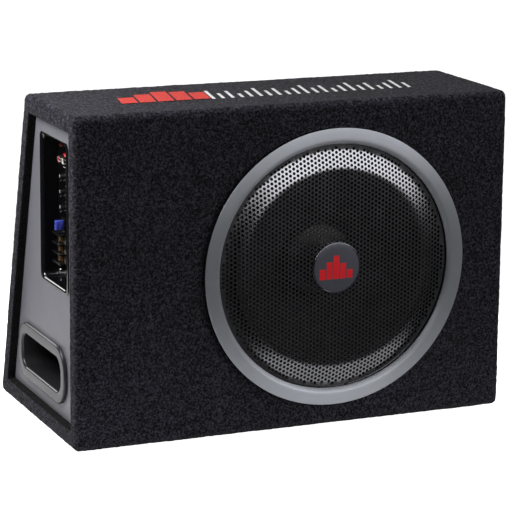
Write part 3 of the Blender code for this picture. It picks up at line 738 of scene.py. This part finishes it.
def jack(node, look):
    """A phono socket: coloured collar, plated shell and a coloured insert with a bore."""
    low, high = (Vector(corner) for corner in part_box(node))
    centre = Vector((high.x, (low.y + high.y) / 2, (low.z + high.z) / 2))
    bm = bmesh.new()
    lathe(bm, in_mm([(0, 0), (6, 0), (6, -1.8), (5.5, -2.3), (4.3, -2.3), (0, -2.2)]), centre, "X", 40)
    add(node + "_collar", bm, look, replaced=(node,))
    shell = [(4.2, -2.2), (4.2, -8.4), (3.95, -8.9), (3.5, -9.0), (3.4, -8.6), (3.4, -2.2)]
    bm = bmesh.new()
    lathe(bm, in_mm(shell), centre, "X", 40, ring=True)
    add(node + "_shell", bm, "silver")
    bm = bmesh.new()
    lathe(bm, in_mm([(3.3, -2.3), (3.3, -8.0), (1.6, -8.2), (1.6, -4), (0, -4)]), centre, "X", 32)
    add(node + "_insert", bm, look)


def knob(node, body):
    """A small fluted control with a pale pointer, which turns with its joint."""
    low, high = (Vector(corner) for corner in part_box(node))
    centre = Vector((high.x, (low.y + high.y) / 2, (low.z + high.z) / 2))
    length, flute = 7.8 * MM, 0.07
    profile = in_mm([(0, 0), (5.6, 0), (5.6, -1.1), (5.2, -1.5), (4.9, -1.8), (4.6, -6.7), (4.2, -7.5)])
    profile += [(3.4 * MM, -length), (0, -length)]
    bm = bmesh.new()
    loops = []
    for radius, along in profile:
        loop = circle(centre, max(radius, TIP_RADIUS), along, "X", 72)
        if 1.9 * MM < -along < 7 * MM:
            for i, point in enumerate(loop):
                if i % 4 < 2:
                    loop[i] = point - (point - centre - Vector((along, 0, 0))) * flute
        loops.append(loop)
    bridge(bm, loops, caps=True)
    add(node + "_skin", bm, "gloss_black", replaced=(node,), body=body)
    bm = bmesh.new()
    tip = centre.x - length
    box(bm, (tip - 0.25 * MM, centre.y - 0.55 * MM, centre.z + 0.3 * MM),
        (tip + 0.6 * MM, centre.y + 0.55 * MM, centre.z + 3.6 * MM), 0.1 * MM)
    add(node + "_pointer", bm, "white_plastic", body=body)


def knob_scales():
    """Dots round each control, and a plated ring at its foot."""
    for node in ("gain_knob", "low_pass_knob", "bass_boost_knob"):
        centre = centre_of(node)
        centre.x = PLATE_FACE
        bm = bmesh.new()
        for i in range(11):
            angle = radians(-150 + 30 * i)
            spot = centre + Vector((0, 7.6 * MM * sin(angle), 7.6 * MM * cos(angle)))
            lathe(bm, in_mm([(0, 0), (0.5, 0), (0.5, -0.08), (0, -0.08)]), spot, "X", 10)
        add(node + "_scale", bm, "white_plastic")
        bm = bmesh.new()
        lathe(bm, in_mm([(5.8, 0), (6.5, 0), (6.3, -0.5), (5.9, -0.5)]), centre, "X", 40, ring=True)
        add(node + "_foot", bm, "silver")


def blade_fuse():
    """Blue body with a thicker grip, and the two test points on its end."""
    low, high = (Vector(corner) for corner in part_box("fuse"))
    bm = bmesh.new()
    box(bm, low, high, 0.5 * MM)
    box(bm, (low.x + 0.8 * MM, low.y - 0.35 * MM, low.z + 0.5 * MM),
        (low.x + 3.6 * MM, high.y + 0.35 * MM, high.z - 0.5 * MM), 0.3 * MM)
    add("fuse_skin", bm, "blue_plastic", replaced=("fuse",), body="fuse_body")
    bm = bmesh.new()
    for height in (low.z + 2.6 * MM, high.z - 2.6 * MM):
        middle = (low.y + high.y) / 2
        box(bm, (low.x - 0.12 * MM, middle - 0.5 * MM, height - 1 * MM),
            (low.x + 0.5 * MM, middle + 0.5 * MM, height + 1 * MM))
    add("fuse_test_points", bm, "silver", smooth=False, body="fuse_body")


def clamp_screws():
    """Brass heads with crossed slots, each on a rectangular clamping plate."""
    for node in ("clamp_screw_ground", "clamp_screw_remote", "clamp_screw_supply"):
        low, high = (Vector(corner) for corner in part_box(node))
        centre = Vector((high.x, (low.y + high.y) / 2, (low.z + high.z) / 2))
        bm = bmesh.new()
        lathe(bm, in_mm([(0, 0.1), (3.9, 0.1), (3.9, -2.2), (3.2, -3.2), (0, -3.4)]), centre, "X", 36)
        box(bm, (centre.x - 0.6 * MM, centre.y - 4.6 * MM, centre.z - 4.1 * MM),
            (centre.x + 0.2 * MM, centre.y + 4.6 * MM, centre.z + 4.1 * MM), 0.2 * MM)
        add(node + "_head", bm, "brass", replaced=(node,))
        bm = bmesh.new()
        for spoke in (radians(35), radians(125)):
            across = Vector((0, cos(spoke), sin(spoke)))
            square = Vector((0, -sin(spoke), cos(spoke)))
            near, far = Vector((-3.6 * MM, 0, 0)), Vector((-2.6 * MM, 0, 0))
            corners = []
            for depth in (near, far):
                for a, b in ((-2.6, -0.45), (2.6, -0.45), (2.6, 0.45), (-2.6, 0.45)):
                    corners.append(bm.verts.new(centre + depth + across * a * MM + square * b * MM))
            bm.faces.new(corners[:4])
            bm.faces.new(corners[4:])
            for i in range(4):
                j = (i + 1) % 4
                bm.faces.new((corners[i], corners[j], corners[j + 4], corners[i + 4]))
        add(node + "_slots", bm, "black_plastic", smooth=False)


def plate_details():
    """Plate screws, printed rules between the groups, and the speaker-level socket's contacts."""
    head = in_mm([(0, 0), (2.6, 0), (2.4, -1), (1.4, -1.5), (0, -1.5)])
    bm = bmesh.new()
    for depth, height in ((61, 176), (134, 176), (61, 328.5), (134, 328.5)):
        lathe(bm, head, plate_at(depth, height), "X", 24)
    add("plate_screws", bm, "silver")
    bm = bmesh.new()
    for height, end in ((298.5, 118), (243.8, 94)):
        box(bm, plate_at(62, height, 0.1), plate_at(end, height + 0.6))
    add("plate_rules", bm, "white_plastic", smooth=False)
    low, high = (Vector(corner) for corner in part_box("speaker_level_socket"))
    bm = bmesh.new()
    for i in range(4):
        depth = low.y + (high.y - low.y) * (i + 0.9) / 4.8
        box(bm, (low.x + 1.6 * MM, depth - 0.4 * MM, (low.z + high.z) / 2 - 0.4 * MM),
            (high.x - 1.8 * MM, depth + 0.4 * MM, (low.z + high.z) / 2 + 0.4 * MM))
    add("speaker_level_pins", bm, "silver", smooth=False)


# Carried-over nodes, camera and light


def dress_nodes():
    """Every CAD node that stays on show takes its slot's finished material, and three take their own."""
    # The port duct takes the near-black duct look: painted shade inside the port.
    own = {"power_light": "lamp", "dust_cap": "cap", "port_duct": "duct"}
    slots = {part["node"]: part["material_slot"] for part in frame["record"]["subparts"]}
    for node, obj in frame["nodes"].items():
        for slot in obj.material_slots:
            slot.material = LOOKS[own.get(node, slots[node])]


def camera():
    """The view that the ring, the cabinet's edges and the end opening agree on."""
    target = DRIVER + Vector((-97.7, 0, 21.5)) * MM
    turn, rise, roll, distance = radians(23.2887), radians(13.0144), radians(0.5645), 2747.6 * MM
    back = Vector((-sin(turn) * cos(rise), -cos(turn) * cos(rise), sin(rise)))
    right = Vector((cos(turn), -sin(turn), 0))
    up = back.cross(right)
    rolled_right = right * cos(roll) + up * sin(roll)
    rolled_up = up * cos(roll) - right * sin(roll)
    data = bpy.data.cameras.new("camera")
    data.sensor_width = 36
    data.lens = 174.27
    data.clip_end = 50
    obj = bpy.data.objects.new("camera", data)
    axes = Matrix((rolled_right, rolled_up, back)).transposed().to_4x4()
    obj.matrix_world = Matrix.Translation(target + back * distance) @ axes
    bpy.context.scene.collection.objects.link(obj)
    bpy.context.scene.camera = obj


def area(name, place, aim, size, power):
    data = bpy.data.lights.new(name, "AREA")
    data.shape = "RECTANGLE"
    data.size, data.size_y = size
    data.energy = power
    obj = bpy.data.objects.new(name, data)
    obj.location = place
    direction = Vector(aim) - Vector(place)
    obj.rotation_euler = direction.to_track_quat("-Z", "Y").to_euler()
    bpy.context.scene.collection.objects.link(obj)


def lights():
    area("top_softbox", (0.05, 0.15, 1.9), (0.05, 0.1, 0.3), (1.6, 1.2), 14)
    area("front_softbox", (1.06, -1.86, 0.98), (0.05, -0.13, 0.19), (2.6, 1.2), 26.5)
    area("left_softbox", (-0.62, -0.05, 0.66), (-0.26, 0.0, 0.34), (0.35, 0.35), 4.8)
    area("right_fill", (2.2, 0.4, 1.1), (0.0, 0.0, 0.2), (1.5, 1.5), 9)
    area("back_fill", (-0.75, 2.2, 0.95), (-0.15, 0.0, 0.2), (1.3, 0.9), 14)


def surroundings():
    """A pale floor, and a white surround that lights the object softly."""
    bm = bmesh.new()
    bmesh.ops.create_grid(bm, x_segments=1, y_segments=1, size=FLOOR_HALF)
    bmesh.ops.translate(bm, vec=FLOOR_MIDDLE, verts=bm.verts)
    bmesh.ops.rotate(bm, cent=(0, 0, 0), matrix=Matrix.Rotation(FLOOR_TURN, 3, "Z"), verts=bm.verts)
    mesh_data = bpy.data.meshes.new("floor")
    bm.to_mesh(mesh_data)
    bm.free()
    floor = bpy.data.objects.new("floor", mesh_data)
    floor.location.z = -GAP
    bpy.context.scene.collection.objects.link(floor)
    material = bpy.data.materials.new("floor_look")
    material.use_nodes = True
    tree = material.node_tree
    shader = tree.nodes["Principled BSDF"]
    shader.inputs["Base Color"].default_value = (0.85, 0.85, 0.85, 1)
    shader.inputs["Roughness"].default_value = 0.9
    shader.inputs["Emission Color"].default_value = (1, 1, 1, 1)
    rays = tree.nodes.new("ShaderNodeLightPath")
    glow = tree.nodes.new("ShaderNodeMath")
    glow.operation = "MULTIPLY_ADD"
    glow.inputs[1].default_value = FLOOR_GLOW
    glow.inputs[2].default_value = FLOOR_LIGHT
    tree.links.new(rays.outputs["Is Camera Ray"], glow.inputs[0])
    tree.links.new(glow.outputs["Value"], shader.inputs["Emission Strength"])
    mesh_data.materials.append(material)

    world = bpy.data.worlds.new("surround")
    world.use_nodes = True
    bpy.context.scene.world = world
    tree = world.node_tree
    background = tree.nodes["Background"]
    background.inputs["Color"].default_value = (1, 1, 1, 1)
    rays = tree.nodes.new("ShaderNodeLightPath")
    level = tree.nodes.new("ShaderNodeMapRange")
    level.inputs["To Min"].default_value = SURROUND_LIGHT
    level.inputs["To Max"].default_value = SURROUND_SEEN
    tree.links.new(rays.outputs["Is Camera Ray"], level.inputs["Value"])
    tree.links.new(level.outputs["Result"], background.inputs["Strength"])


bpy.context.scene.view_settings.view_transform = "Standard"

camera()
dress_nodes()
carpet()
top_print()
port_lip()
trim_ring()
grille()
badge()
bezel()
jack("input_jack_right", "red_plastic")
jack("input_jack_left", "white_plastic")
knob("gain_knob", "gain_control")
knob("low_pass_knob", "low_pass_control")
knob("bass_boost_knob", "bass_boost_control")
knob_scales()
blade_fuse()
clamp_screws()
plate_details()
lights()
surroundings()
